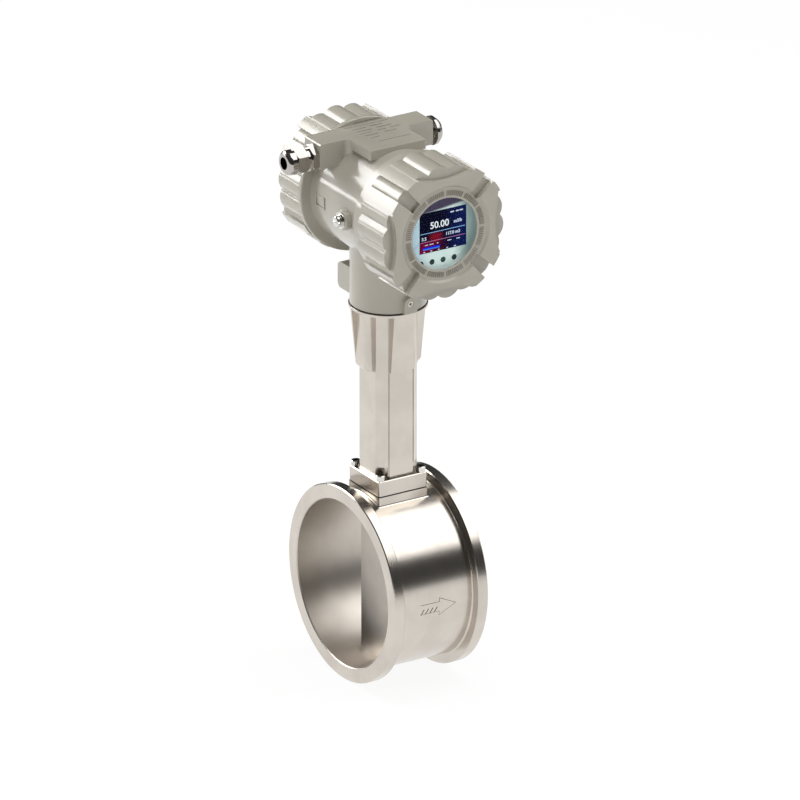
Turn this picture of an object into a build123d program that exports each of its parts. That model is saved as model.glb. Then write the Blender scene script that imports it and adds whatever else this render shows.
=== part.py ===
from build123d import *
from math import cos, hypot, pi, radians, sin, sqrt
import os

# Vortex flow meter for a DN150 pipe, in millimetres.
# X runs along the bore, downstream, from the inlet face. Z is up along the column.
# The display looks toward -Y. The bore's axis is Z = 0.

os.makedirs("parts", exist_ok=True)

# Fits and clearances
running_gap = 0.05
free_gap = 0.1
soft_gap = 0.3
bolt_gap = 0.25

# Flow tube
bore_r = 75.0
tube_wall = 4.25
tube_length = 94.0
rim_height = 9.25
rim_thickness = 10.0
rim_chamfer = 0.8
rim_root_r = 1.5
saddle_width = 50.0
saddle_corner_r = 1.5
saddle_root_r = 2.0
saddle_below_rim = 5.0

# Bluff bar
shedder_width = 42.0
shedder_tail_width = 16.0
shedder_length = 34.0
shedder_nose_ahead = 14.5
weld_gap = 0.05
port_width = 4.0
port_height = 18.0
port_z = 46.0

# Sensor probe
probe_stem_r = 9.0
probe_stem_end_z = 38.0
probe_flange_r = 15.0
probe_flange_thickness = 6.0
blade_thickness = 3.0
blade_width = 14.0
blade_end_z = 24.0
well_end_gap = 4.0

# Joint between saddle and column
gasket_thickness = 1.0
gasket_inset = 0.6
plate_width = 49.0
plate_thickness = 13.5
plate_edge = 0.6
screw_offset = 20.2
screw_r = 2.5
screw_head_r = 4.25
screw_head_height = 5.0
screw_head_chamfer = 0.4
screw_grip = 8.0
screw_socket_r = 2.3
screw_socket_depth = 2.6

# Column
column_width = 42.0
column_chamfer = 8.0
column_bore_r = 12.0
column_length = 98.0
column_groove_width = 1.4
column_groove_depth = 1.0
relief_r = 7.5
relief_height = 10.0

# Adapter
adapter_length = 54.0
fin_half_width = 4.2
fin_foot_r = 28.7
fin_top_r = 33.3
panel_foot_half_width = 10.4
panel_foot_reach = 22.7
panel_top_half_width = 8.8
panel_top_reach = 24.9
lip_r = 34.5
lip_thickness = 2.5
lip_edge = 0.6
spigot_r = 25.0
spigot_height = 31.0
spigot_groove_width = 6.0
spigot_groove_depth = 1.5

# Swivel between adapter and head
swivel_seal_r = 32.0
swivel_seal_height = 1.7

# Housing
neck_r = 33.5
barrel_above_neck_foot = 92.5
socket_top_gap = 4.0
cable_way_r = 9.0
barrel_r = 51.5
collar_r = 57.0
collar_back_y = -34.5
collar_front_y = -47.6
collar_edge = 1.5
flange_r = 61.0
flange_front_y = 44.0
flange_thickness = 4.6
flange_edge = 1.2
cover_spigot_r = 50.0
cover_spigot_length = 14.0
compartment_r = 43.0
partition_half = 6.0
lug_half_width = 30.0
lug_back_y = 34.0
lug_foot_z = 7.5
lug_height = 24.0
lug_edge = 5.0
lock_boss_half_width = 6.3
lock_boss_front_y = -37.5
lock_z = 8.3
lock_screw_r = 2.5
lock_screw_recess = 0.6
lock_socket_r = 1.5

# Conduit bar and nameplate pad on top of the housing
bar_half_length = 56.8
bar_front_y = 18.5
bar_height = 22.5
bar_edge = 1.0
top_above_barrel = 55.5
pad_half_length = 28.0
pad_front_y = -17.0
pad_thickness = 8.5
pad_corner_r = 1.2
pad_root_r = 6.0
pad_root_below_top = 17.5
entry_r = 8.0
entry_y = 30.0
entry_below_top = 14.5
entry_inner_x = 18.0

# Earth terminal and blank cast frame on the housing's left side, raised from the barrel
earth_y = -15.5
earth_below_axis = 2.0
earth_boss_r = 9.0
earth_boss_rise = 5.5
earth_boss_edge = 1.0
earth_mark_r = 2.5
earth_mark_y = -25.5
earth_mark_below = 7.0
earth_mark_rise = 0.5
earth_screw_r = 2.5
earth_screw_depth = 8.0
earth_head_r = 5.0
earth_head_height = 3.4
earth_slot_width = 1.2
earth_slot_depth = 1.6
washer_r = 7.5
washer_thickness = 1.1
spring_washer_r = 5.8
spring_washer_thickness = 1.4
frame_y = 27.0
frame_half_width = 7.0
frame_half_height = 5.5
frame_line = 1.2
frame_rise = 0.9

# Covers
flute_count = 18
flute_tip_r = 60.8
flute_valley_r = 57.3
flute_phase = -45.0
ear_r = 61.8
ear_from = 5.75
ear_to = 16.5
front_cover_length = 46.6
rear_cover_length = 37.4
cover_cavity_r = 47.0
seal_section_r = 1.5
seal_seat_extra = 0.4
lens_depth = 5.0
lens_inner_r = 49.5
lens_arc_r = 83.0
ring_recess_r = 42.0
ring_recess_depth = 1.8
ring_recess_slope = 2.0
notch_inner_half = 4.8
notch_end_r = 64.0
rear_wall = 9.0

# Window
window_r = 32.5
window_lip = 1.5
glass_r = 40.0
glass_thickness = 4.0
window_gasket_thickness = 1.0
window_gasket_line = 2.6
window_ring_thickness = 4.0
window_slot_depth = 1.5
window_ring_slot = 2.0

# Display
display_gap = 0.4
overlay_r = 36.2
overlay_thickness = 0.5
screen_half_width = 23.5
screen_half_height = 18.5
screen_center_x = 1.5
screen_center_z = 1.5
screen_thickness = 2.5
screen_border = 1.0
key_r = 2.6
key_length = 2.4
key_count = 4
key_pitch = 11.1
key_center_x = -3.85
key_below = 26.0
display_body_length = 18.6
display_foot_r = 40.5
display_foot_thickness = 4.0
display_wall = 2.2
post_offset = 25.0
post_r = 3.0
board_r = 40.5
board_thickness = 1.6
board_y = -25.0
chip_width = 20.0
chip_height = 5.0
capacitor_r = 5.0
capacitor_height = 12.0

# Terminals
terminal_width = 56.0
terminal_height = 16.0
terminal_depth = 14.0
terminal_count = 6
terminal_pitch = 9.0
terminal_screw_r = 2.6
terminal_screw_height = 3.0
terminal_slot = 0.8
terminal_z = 6.0

# Cable glands, lengths measured out from the end of the conduit bar
gland_across_corners = 25.4
gland_hex_length = 6.0
gland_thread_length = 10.0
gland_bore_r = 6.6
gland_barrel_r = 9.4
gland_barrel_end = 18.5
gland_nut_start = 10.5
gland_nut_end = 29.5
gland_nut_hex_length = 10.5
gland_nose_r = 4.0
gland_mouth_r = 5.6
gland_seal_r = 6.3
gland_cable_r = 4.5
gland_seal_start = 7.0
gland_seal_end = 19.8
gland_slip_thickness = 1.2
gland_slip_r = 8.2
gland_slip_gap = 0.3
gland_nut_edge = 0.8

# Stopping plug, lengths measured the same way
plug_r = 12.2
plug_hex_length = 5.0
plug_cap_r = 11.0
plug_length = 14.0
plug_cap_edge = 4.5

# Places that follow from the sizes above
tube_r = bore_r + tube_wall
rim_r = tube_r + rim_height
saddle_top = rim_r - saddle_below_rim
column_x = tube_length / 2
plate_foot = saddle_top + gasket_thickness
column_foot = plate_foot + plate_thickness
adapter_foot = column_foot + column_length
lip_foot = adapter_foot + adapter_length
lip_top = lip_foot + lip_thickness
neck_foot = lip_top + swivel_seal_height + soft_gap
spigot_top = lip_top + spigot_height
axis_z = neck_foot + barrel_above_neck_foot
head_top = axis_z + top_above_barrel
lock_height = neck_foot + lock_z
bar_back_y = flange_front_y
entry_z = head_top - entry_below_top
pad_end_x = pad_half_length + pad_root_r
earth_z = axis_z - earth_below_axis
earth_boss_x = -(barrel_r + earth_boss_rise)
earth_mark_x = -(barrel_r + earth_mark_rise)
frame_face_x = -(barrel_r + frame_rise)
flange_back_y = flange_front_y + flange_thickness
front_face_y = collar_front_y - front_cover_length
rear_face_y = flange_back_y + rear_cover_length
glass_front_y = front_face_y + ring_recess_depth + window_lip
glass_back_y = glass_front_y + glass_thickness
ring_front_y = glass_back_y + window_gasket_thickness
ring_back_y = ring_front_y + window_ring_thickness
overlay_front_y = glass_back_y + display_gap
overlay_back_y = overlay_front_y + overlay_thickness
screen_back_y = overlay_back_y + screen_thickness
display_foot_y = overlay_back_y + display_body_length + display_foot_thickness
well_r = probe_stem_r + free_gap
flange_seat_z = saddle_top - probe_flange_thickness
terminal_row_z = axis_z + terminal_z
hex_flat = sqrt(3) / 2

on_column = Pos(column_x, 0, 0)


# Basic shapes between two stations


def rod_x(radius, x_from, x_to, y=0.0, z=0.0):
    """A round bar along X."""
    return Pos((x_from + x_to) / 2, y, z) * Rot(0, 90, 0) * Cylinder(radius, abs(x_to - x_from))


def rod_y(radius, y_from, y_to, x=0.0, z=axis_z):
    """A round bar along Y, on the barrel's axis unless told otherwise."""
    return Pos(x, (y_from + y_to) / 2, z) * Rot(90, 0, 0) * Cylinder(radius, abs(y_to - y_from))


def rod_z(radius, z_from, z_to, x=0.0, y=0.0):
    """A round bar along Z."""
    return Pos(x, y, (z_from + z_to) / 2) * Cylinder(radius, abs(z_to - z_from))


def block(x_from, x_to, y_from, y_to, z_from, z_to):
    """A box between two corners."""
    size = Box(x_to - x_from, y_to - y_from, z_to - z_from)
    return Pos((x_from + x_to) / 2, (y_from + y_to) / 2, (z_from + z_to) / 2) * size


def plane_at_y(y):
    """Drawing plane across the barrel: first axis +X, second axis +Z, extruding toward -Y."""
    return Plane(origin=(0, y, axis_z), x_dir=(1, 0, 0), z_dir=(0, -1, 0))


def polar(radius, angle):
    return (radius * cos(angle), radius * sin(angle))


def corners(offset):
    return [(x, y) for x in (-offset, offset) for y in (-offset, offset)]


def hexagon(corner_r, x_from, x_to, y, z):
    """A hexagonal bar along X with a corner at the top."""
    face = Plane(origin=(x_from, y, z), x_dir=(0, 0, 1), z_dir=(1, 0, 0)) * RegularPolygon(corner_r, 6)
    return extrude(face, x_to - x_from)


# Flow tube with its rims and saddle


def is_saddle_root(edge):
    """Whether an edge is where the saddle's sides leave the tube."""
    middle = edge.position_at(0.5)
    beside = abs(abs(middle.X - column_x) - saddle_width / 2) < saddle_corner_r
    along = abs(abs(middle.Y) - saddle_width / 2) < saddle_corner_r
    return (beside or along) and abs(hypot(middle.Y, middle.Z) - tube_r) < free_gap and middle.Z > 0


def make_flow_tube():
    """Revolved tube with two rims, a milled saddle, and the seats of the probe and screws."""
    far = tube_length
    edge = rim_chamfer
    outline = Polyline(
        (0, bore_r + edge),
        (0, rim_r - edge),
        (edge, rim_r),
        (rim_thickness - edge, rim_r),
        (rim_thickness, rim_r - edge),
        (rim_thickness, tube_r),
        (far - rim_thickness, tube_r),
        (far - rim_thickness, rim_r - edge),
        (far - rim_thickness + edge, rim_r),
        (far - edge, rim_r),
        (far, rim_r - edge),
        (far, bore_r + edge),
        (far - edge, bore_r),
        (edge, bore_r),
        close=True,
    )
    section = make_face(outline)
    roots = [
        v for v in section.vertices()
        if abs(v.Y - tube_r) < running_gap and rim_thickness - edge < v.X < far - rim_thickness + edge
    ]
    tube = revolve(fillet(roots, rim_root_r), Axis.X)
    saddle_face = RectangleRounded(saddle_width, saddle_width, saddle_corner_r)
    saddle = extrude(Pos(column_x, 0, bore_r / 2) * saddle_face, saddle_top - bore_r / 2)
    saddle -= rod_x(bore_r + tube_wall / 2, 0, far)
    tube += saddle
    tube = fillet([e for e in tube.edges() if is_saddle_root(e)], saddle_root_r)
    tube -= rod_z(probe_flange_r + free_gap, flange_seat_z, saddle_top, column_x)
    tube -= rod_z(well_r, bore_r / 2, saddle_top, column_x)
    for x, y in corners(screw_offset):
        tube -= rod_z(screw_r + free_gap, saddle_top - screw_grip - free_gap, saddle_top, column_x + x, y)
    return tube


# Bluff bar and probe


def make_shedder_bar():
    """Trapezoidal bar, flat side upstream, fitted to the bore and drilled for the probe."""
    nose_x = column_x - shedder_nose_ahead
    tail_x = nose_x + shedder_length
    outline = Polyline(
        (nose_x, -shedder_width / 2),
        (tail_x, -shedder_tail_width / 2),
        (tail_x, shedder_tail_width / 2),
        (nose_x, shedder_width / 2),
        close=True,
    )
    bar = extrude(make_face(outline), bore_r, both=True)
    bar &= rod_x(bore_r - weld_gap, 0, tube_length)
    bar -= rod_z(well_r, blade_end_z - well_end_gap, bore_r, column_x)
    bar -= Pos(column_x, 0, port_z) * Box(port_width, shedder_width, port_height)
    return bar


def make_sensor_probe():
    """Flange, stem and flat blade of the probe, hung in the well."""
    probe = rod_z(probe_flange_r, flange_seat_z, saddle_top)
    probe += rod_z(probe_stem_r, probe_stem_end_z, flange_seat_z)
    half = blade_width / 2
    probe += block(-half, half, -blade_thickness / 2, blade_thickness / 2, blade_end_z, probe_stem_end_z)
    return on_column * probe


# Bolted joint at the foot of the column


def make_flange_gasket():
    width = plate_width - 2 * gasket_inset
    outline = RectangleRounded(width, width, saddle_corner_r)
    sheet = extrude(Pos(0, 0, saddle_top) * outline, gasket_thickness)
    sheet -= rod_z(column_bore_r, saddle_top, plate_foot)
    for x, y in corners(screw_offset):
        sheet -= rod_z(screw_r + bolt_gap, saddle_top, plate_foot, x, y)
    return on_column * sheet


def make_base_plate():
    outline = RectangleRounded(plate_width, plate_width, saddle_corner_r)
    plate = extrude(Pos(0, 0, plate_foot) * outline, plate_thickness)
    plate = chamfer(plate.edges().group_by(Axis.Z)[-1], plate_edge)
    plate -= rod_z(column_bore_r, plate_foot, column_foot)
    for x, y in corners(screw_offset):
        plate -= rod_z(screw_r + bolt_gap, plate_foot, column_foot, x, y)
    return on_column * plate


def make_base_screws():
    """Four socket head screws through the plate into the saddle."""
    head_top_z = column_foot + screw_head_height
    head = rod_z(screw_head_r, column_foot, head_top_z)
    head = chamfer(head.edges().group_by(Axis.Z)[-1], screw_head_chamfer)
    socket = Pos(0, 0, head_top_z - screw_socket_depth) * RegularPolygon(screw_socket_r, 6)
    screw = head - extrude(socket, screw_socket_depth) + rod_z(screw_r, saddle_top - screw_grip, column_foot)
    return on_column * Compound([Pos(x, y, 0) * screw for x, y in corners(screw_offset)])


# Column


def column_section():
    """Square section with chamfered corners."""
    square = Rectangle(column_width, column_width)
    return chamfer(square.vertices(), column_chamfer)


def make_column_tube():
    """Bored square column, grooved beside its front and rear faces, relieved over the screws."""
    column = extrude(Pos(0, 0, column_foot) * column_section(), column_length)
    column -= rod_z(column_bore_r, column_foot, adapter_foot)
    face = column_width / 2
    groove_x = face - column_chamfer - column_groove_width / 2
    for x in (-groove_x, groove_x):
        for y in (-face, face):
            column -= Pos(x, y, (column_foot + adapter_foot) / 2) * Box(
                column_groove_width, 2 * column_groove_depth, column_length
            )
    for x, y in corners(screw_offset):
        column -= rod_z(relief_r, column_foot, column_foot + relief_height, x, y)
    return on_column * column


# Adapter with diagonal fins and flared panels


def make_fin(angle):
    """One upright diagonal fin, whose outer edge lies on the adapter's cone."""
    outline = Polyline(
        (0, adapter_foot), (fin_foot_r, adapter_foot), (fin_top_r, lip_foot), (0, lip_foot), close=True
    )
    web = extrude(Plane.XZ * make_face(outline), fin_half_width, both=True)
    return Rot(0, 0, angle) * web


def make_panel(angle):
    """One flat panel that leans out and narrows toward the lip."""
    foot = Rectangle(panel_foot_reach, 2 * panel_foot_half_width)
    top = Rectangle(panel_top_reach, 2 * panel_top_half_width)
    placed = [Pos(panel_foot_reach / 2, 0, adapter_foot) * foot, Pos(panel_top_reach / 2, 0, lip_foot) * top]
    return Rot(0, 0, angle) * loft(placed)


def make_neck_adapter():
    """Cast adapter: column core, four fins, four panels, round lip and swivel spigot."""
    cone = make_face(Polyline(
        (0, adapter_foot), (fin_foot_r, adapter_foot), (fin_top_r, lip_foot), (0, lip_foot), close=True
    ))
    envelope = revolve(Plane.XZ * cone, Axis.Z)
    adapter = extrude(Pos(0, 0, adapter_foot) * column_section(), adapter_length)
    for quarter in range(4):
        adapter += make_panel(90 * quarter)
        adapter += make_fin(45 + 90 * quarter) & envelope
    lip = rod_z(lip_r, lip_foot, lip_top)
    adapter += chamfer(lip.edges(), lip_edge)
    adapter += rod_z(spigot_r, lip_top, spigot_top)
    groove_foot = lock_height - spigot_groove_width / 2
    groove = rod_z(spigot_r + free_gap, groove_foot, groove_foot + spigot_groove_width)
    adapter -= groove - rod_z(spigot_r - spigot_groove_depth, lip_top, spigot_top)
    adapter -= rod_z(column_bore_r, adapter_foot, spigot_top)
    return on_column * adapter


def make_swivel_seal():
    ring = rod_z(swivel_seal_r, lip_top, lip_top + swivel_seal_height)
    ring -= rod_z(spigot_r + soft_gap, lip_top, lip_top + swivel_seal_height)
    return on_column * ring


# Housing casting


def make_head_lugs():
    """Rear lug under the barrel and the boss of the swivel's set screw."""
    lug_z = neck_foot + lug_foot_z
    lug = block(-lug_half_width, lug_half_width, 0, lug_back_y, lug_z, lug_z + lug_height)
    lug = fillet(lug.edges().filter_by(Axis.X).group_by(Axis.Y)[-1], lug_edge)
    boss = rod_y(lock_boss_half_width, lock_boss_front_y, -neck_r / 2, 0, lock_height)
    boss += block(
        -lock_boss_half_width, lock_boss_half_width, lock_boss_front_y, -neck_r / 2, neck_foot, lock_height
    )
    return lug, boss


def make_top_works():
    """Conduit bar, nameplate pad and the root that joins them to the barrel."""
    bar_depth = bar_back_y - bar_front_y
    bar_face = Pos(0, bar_front_y + bar_depth / 2) * Rectangle(2 * bar_half_length, bar_depth)
    bar = extrude(Pos(0, 0, head_top - bar_height) * bar_face, bar_height)
    bar = chamfer(bar.edges().filter_by(Axis.Y).group_by(Axis.Z)[-1], bar_edge)
    pad = top_outline(bar_face, pad_front_y)
    pad = fillet(pad.vertices().group_by(Axis.Y)[0], pad_corner_r)
    pad = extrude(Pos(0, 0, head_top - pad_thickness) * pad, pad_thickness)
    root_foot = head_top - pad_root_below_top
    root = top_outline(bar_face, bar_front_y - pad_root_r)
    root = extrude(Pos(0, 0, root_foot) * root, head_top - pad_thickness - root_foot)
    middle = block(-pad_end_x, pad_end_x, pad_front_y, bar_back_y, root_foot, head_top)
    return bar, pad & middle, root & middle


def top_outline(bar_face, front_y):
    """Plan of the bar with a tongue reaching forward, its inner corners rounded."""
    tongue = Pos(0, (front_y + bar_back_y) / 2) * Rectangle(2 * pad_half_length, bar_back_y - front_y)
    outline = bar_face + tongue
    inner = [
        v for v in outline.vertices()
        if abs(v.Y - bar_front_y) < free_gap and abs(abs(v.X) - pad_half_length) < free_gap
    ]
    return fillet(inner, pad_root_r - free_gap)


def make_side_marks():
    """Earth boss, small round mark and blank cast frame on the left side of the barrel."""
    wall_x = -(barrel_r + compartment_r) / 2
    boss = rod_x(earth_boss_r, earth_boss_x, wall_x, earth_y, earth_z)
    boss = fillet(boss.edges().group_by(Axis.X)[0], earth_boss_edge)
    mark = rod_x(earth_mark_r, earth_mark_x, wall_x, earth_mark_y, earth_z - earth_mark_below)
    frame_center = Pos((frame_face_x + wall_x) / 2, frame_y, axis_z)
    outer = frame_center * Box(wall_x - frame_face_x, 2 * frame_half_width, 2 * frame_half_height)
    inner = frame_center * Box(
        wall_x - frame_face_x, 2 * (frame_half_width - frame_line), 2 * (frame_half_height - frame_line)
    )
    return boss, mark, outer - inner


def make_housing():
    """The head's casting, with both compartments, the swivel socket and the cable entries."""
    collar = fillet(rod_y(collar_r, collar_front_y, collar_back_y).edges(), collar_edge)
    flange = fillet(rod_y(flange_r, flange_front_y, flange_back_y).edges(), flange_edge)
    body = rod_y(barrel_r, collar_front_y, flange_back_y) + collar + flange
    body += rod_z(neck_r, neck_foot, axis_z)
    for piece in (*make_head_lugs(), *make_top_works(), *make_side_marks()):
        body += piece
    front_end = collar_front_y - cover_spigot_length
    rear_end = flange_back_y + cover_spigot_length
    body += rod_y(cover_spigot_r, front_end, collar_front_y) + rod_y(cover_spigot_r, flange_back_y, rear_end)
    body -= rod_y(compartment_r, front_end, -partition_half)
    body -= rod_y(compartment_r, partition_half, rear_end)
    body -= rod_z(spigot_r + running_gap, neck_foot, spigot_top + socket_top_gap)
    body -= rod_z(cable_way_r, spigot_top, axis_z - compartment_r / 2)
    body -= rod_x(entry_r + free_gap, -bar_half_length, -entry_inner_x, entry_y, entry_z)
    body -= rod_x(entry_r + free_gap, entry_inner_x, bar_half_length, entry_y, entry_z)
    body -= rod_y(lock_screw_r + free_gap, lock_boss_front_y, 0, 0, lock_height)
    earth_end_x = earth_boss_x + earth_screw_depth + free_gap
    body -= rod_x(earth_screw_r + free_gap, earth_boss_x, earth_end_x, earth_y, earth_z)
    return on_column * body


# Small fasteners on the housing


def make_set_screw():
    """Hollow set screw whose tip rides in the adapter's groove."""
    tip_y = -(spigot_r - spigot_groove_depth + soft_gap)
    outer_y = lock_boss_front_y + lock_screw_recess
    screw = rod_y(lock_screw_r, outer_y, tip_y, 0, lock_height)
    end = Plane(origin=(0, outer_y, lock_height), x_dir=(1, 0, 0), z_dir=(0, 1, 0))
    return on_column * (screw - extrude(end * RegularPolygon(lock_socket_r, 6), screw_socket_depth))


def make_ground_washers():
    """A flat washer and a smaller one on the earth boss."""
    flat = rod_x(washer_r, earth_boss_x - washer_thickness, earth_boss_x, earth_y, earth_z)
    outer_x = earth_boss_x - washer_thickness
    small = rod_x(spring_washer_r, outer_x - spring_washer_thickness, outer_x, earth_y, earth_z)
    hole = rod_x(earth_screw_r + bolt_gap, earth_boss_x - washer_r, earth_boss_x, earth_y, earth_z)
    return on_column * Compound([(flat - hole).solid(), (small - hole).solid()])


def make_ground_screw():
    """Cheese head screw of the earth terminal."""
    head_x = earth_boss_x - washer_thickness - spring_washer_thickness
    head = rod_x(earth_head_r, head_x - earth_head_height, head_x, earth_y, earth_z)
    head = fillet(head.edges().group_by(Axis.X)[0], earth_slot_width)
    slot = Pos(head_x - earth_head_height, earth_y, earth_z) * Box(
        2 * earth_slot_depth, 2 * earth_head_r, earth_slot_width
    )
    shank = rod_x(earth_screw_r, head_x, earth_boss_x + earth_screw_depth, earth_y, earth_z)
    return on_column * (head - slot + shank)


# Covers


def lobed_outline():
    """Convex lobes that meet in narrow valleys."""
    step = pi / flute_count
    phase = radians(flute_phase)
    lobes = [
        ThreePointArc(
            polar(flute_valley_r, phase + (2 * lobe - 1) * step),
            polar(flute_tip_r, phase + 2 * lobe * step),
            polar(flute_valley_r, phase + (2 * lobe + 1) * step),
        )
        for lobe in range(flute_count)
    ]
    return make_face(lobes)


def ear_outline(angle, side):
    """One raised sector beside a diagonal notch; side is +1 or -1."""
    near = radians(angle + side * ear_from)
    far = radians(angle + side * ear_to)
    arc = ThreePointArc(polar(ear_r, near), polar(ear_r, (near + far) / 2), polar(ear_r, far))
    inner_r = cover_spigot_r + seal_section_r
    sides = Polyline(polar(ear_r, far), polar(inner_r, far), polar(inner_r, near), polar(ear_r, near))
    return make_face([arc, *sides.edges()])


def cover_outline():
    """The lobes and the eight raised sectors in one face."""
    outline = lobed_outline()
    for quarter in range(4):
        for side in (-1, 1):
            outline += ear_outline(45 + 90 * quarter, side)
    return outline


def face_recesses(face_y, inward):
    """The four lens-shaped recesses, four tapered notches and the ring cut into a cover's face."""
    plane = plane_at_y(face_y)
    lens_axis = lens_inner_r + lens_arc_r
    notch_outer_half = notch_end_r * sin(radians(ear_from))
    notch_start_r = ring_recess_r - ring_recess_depth
    floor = Circle(ring_recess_r)
    mouth = Circle(ring_recess_r + ring_recess_slope)
    cuts = [loft([plane * mouth, plane * Pos(0, 0, -inward * ring_recess_depth) * floor])]
    for quarter in range(4):
        turn = Rot(0, 0, 90 * quarter)
        lens = turn * Pos(lens_axis, 0) * Circle(lens_arc_r)
        cuts.append(extrude(plane * lens, -inward * lens_depth))
        notch = make_face(Polyline(
            (notch_start_r, -notch_inner_half),
            (notch_end_r, -notch_outer_half),
            (notch_end_r, notch_outer_half),
            (notch_start_r, notch_inner_half),
            close=True,
        ))
        cuts.append(extrude(plane * Rot(0, 0, 45) * turn * notch, -inward * lens_depth))
    return cuts


def cover_shell(open_y, face_y):
    """Fluted cup with the thread's bore and the seal's seat at its open end."""
    outward = -1 if face_y < open_y else 1
    length = abs(face_y - open_y)
    shell = extrude(plane_at_y(open_y) * cover_outline(), -outward * length)
    for cut in face_recesses(face_y, -outward):
        shell -= cut
    seat_depth = 2 * seal_section_r + seal_seat_extra
    shell -= rod_y(cover_spigot_r + running_gap, open_y, open_y + outward * (cover_spigot_length + soft_gap))
    seat_r = cover_spigot_r + 2 * (seal_section_r + seal_seat_extra)
    return shell - rod_y(seat_r, open_y, open_y + outward * seat_depth)


def make_cover_ring(open_y, outward):
    """Round seal in the cover's seat."""
    middle = open_y + outward * (seal_section_r + seal_seat_extra / 2)
    ring = Torus(cover_spigot_r + seal_seat_extra + seal_section_r, seal_section_r)
    return on_column * Pos(0, middle, axis_z) * Rot(90, 0, 0) * ring


def make_front_cover():
    """Front cover with the window's opening, the glass seat and the retaining ring's bore."""
    cover = cover_shell(collar_front_y, front_face_y)
    cover -= rod_y(cover_cavity_r, collar_front_y, ring_back_y)
    cover -= rod_y(glass_r + free_gap, ring_back_y, glass_front_y)
    cover -= rod_y(window_r, glass_front_y, front_face_y)
    return on_column * cover


def make_rear_cover():
    cover = cover_shell(flange_back_y, rear_face_y)
    return on_column * (cover - rod_y(cover_cavity_r, flange_back_y, rear_face_y - rear_wall))


def make_window_glass():
    return on_column * rod_y(glass_r, glass_front_y, glass_back_y)


def make_window_gasket():
    ring = rod_y(glass_r, glass_back_y, ring_front_y)
    return on_column * (ring - rod_y(glass_r - window_gasket_line, glass_back_y, ring_front_y))


def make_window_ring():
    """Retaining ring of the glass, with two slots for its key."""
    ring = rod_y(glass_r, ring_front_y, ring_back_y)
    ring -= rod_y(glass_r - window_gasket_line, ring_front_y, ring_back_y)
    slot = Box(2 * glass_r + window_ring_slot, 2 * window_slot_depth, window_ring_slot)
    return on_column * (ring - Pos(0, ring_back_y, axis_z) * slot)


# Display and main board


def screen_block(y_from, y_to, grow):
    """The screen's outline between two stations, larger all round by grow."""
    return block(
        screen_center_x - screen_half_width - grow, screen_center_x + screen_half_width + grow,
        y_from, y_to,
        axis_z + screen_center_z - screen_half_height - grow,
        axis_z + screen_center_z + screen_half_height + grow,
    )


def key_rods(y_from, y_to, radius):
    """One round bar for each key, in a row under the screen."""
    first = key_center_x - key_pitch * (key_count - 1) / 2
    return [rod_y(radius, y_from, y_to, first + key_pitch * n, axis_z - key_below) for n in range(key_count)]


def make_display_overlay():
    """Printed foil with openings for the screen and the keys."""
    foil = rod_y(overlay_r, overlay_front_y, overlay_back_y)
    foil -= screen_block(overlay_front_y, overlay_back_y, 0)
    for hole in key_rods(overlay_front_y, overlay_back_y, key_r):
        foil -= hole
    return on_column * foil


def make_display_screen():
    """Screen panel behind the foil, raised in its opening."""
    panel = screen_block(overlay_back_y, screen_back_y, screen_border)
    return on_column * (panel + screen_block(overlay_front_y + running_gap, overlay_back_y, -running_gap))


def make_key_sensors():
    """Round touch sensors that look out through the foil."""
    front_y = overlay_front_y + running_gap
    rods = key_rods(front_y, front_y + key_length, key_r - running_gap)
    return on_column * Compound([rod.solid() for rod in rods])


def make_display_housing():
    """Round tray that carries the foil and the screen, open at the back, on a wide foot."""
    foot_front_y = display_foot_y - display_foot_thickness
    tray = rod_y(overlay_r, overlay_back_y, foot_front_y)
    tray += rod_y(display_foot_r, foot_front_y, display_foot_y)
    tray -= rod_y(overlay_r - display_wall, screen_back_y + display_wall, display_foot_y)
    tray -= screen_block(overlay_back_y, screen_back_y, screen_border + free_gap)
    for pocket in key_rods(overlay_back_y, overlay_front_y + running_gap + key_length, key_r):
        tray -= pocket
    return on_column * tray


def post_places():
    return corners(post_offset)


def make_board_posts():
    """Four stepped posts from the partition through the main board to the display's foot."""
    posts = []
    for x, z in post_places():
        thick = rod_y(post_r, board_y + board_thickness, -partition_half, x, axis_z + z)
        thin = rod_y(post_r - 1, board_y, board_y + board_thickness, x, axis_z + z)
        front = rod_y(post_r, display_foot_y, board_y, x, axis_z + z)
        posts.append((thick + thin + front).solid())
    return on_column * Compound(posts)


def make_main_board():
    """Round circuit board with its larger parts as blocks on one side."""
    board = rod_y(board_r, board_y, board_y + board_thickness)
    for x, z in post_places():
        board -= rod_y(post_r - 1 + running_gap, board_y, board_y + board_thickness, x, axis_z + z)
    chip = Box(chip_width, chip_height, chip_width)
    board += Pos(0, board_y - chip_height / 2, axis_z) * chip
    board += rod_y(capacitor_r, board_y - capacitor_height, board_y, chip_width, axis_z)
    return on_column * board


# Terminals in the rear compartment


def terminal_places():
    first = -terminal_pitch * (terminal_count - 1) / 2
    return [first + terminal_pitch * n for n in range(terminal_count)]


def make_terminal_block():
    """Stepped strip with one screw well for each terminal."""
    center = Pos(0, partition_half + terminal_depth / 2, terminal_row_z)
    strip = center * Box(terminal_width, terminal_depth, terminal_height)
    back_y = partition_half + terminal_depth
    for x in terminal_places():
        well_r = terminal_screw_r + running_gap
        strip -= rod_y(well_r, back_y - terminal_screw_height, back_y, x, terminal_row_z)
    return on_column * strip


def make_terminal_screws():
    back_y = partition_half + terminal_depth
    screws = []
    for x in terminal_places():
        screw = rod_y(terminal_screw_r, back_y - terminal_screw_height, back_y, x, terminal_row_z)
        slot = Pos(x, back_y, terminal_row_z) * Box(2 * terminal_screw_r, 2 * terminal_slot, terminal_slot)
        screws.append((screw - slot).solid())
    return on_column * Compound(screws)


# Cable glands, drawn for the right end and mirrored for the left


def out(distance):
    return bar_half_length + distance


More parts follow.
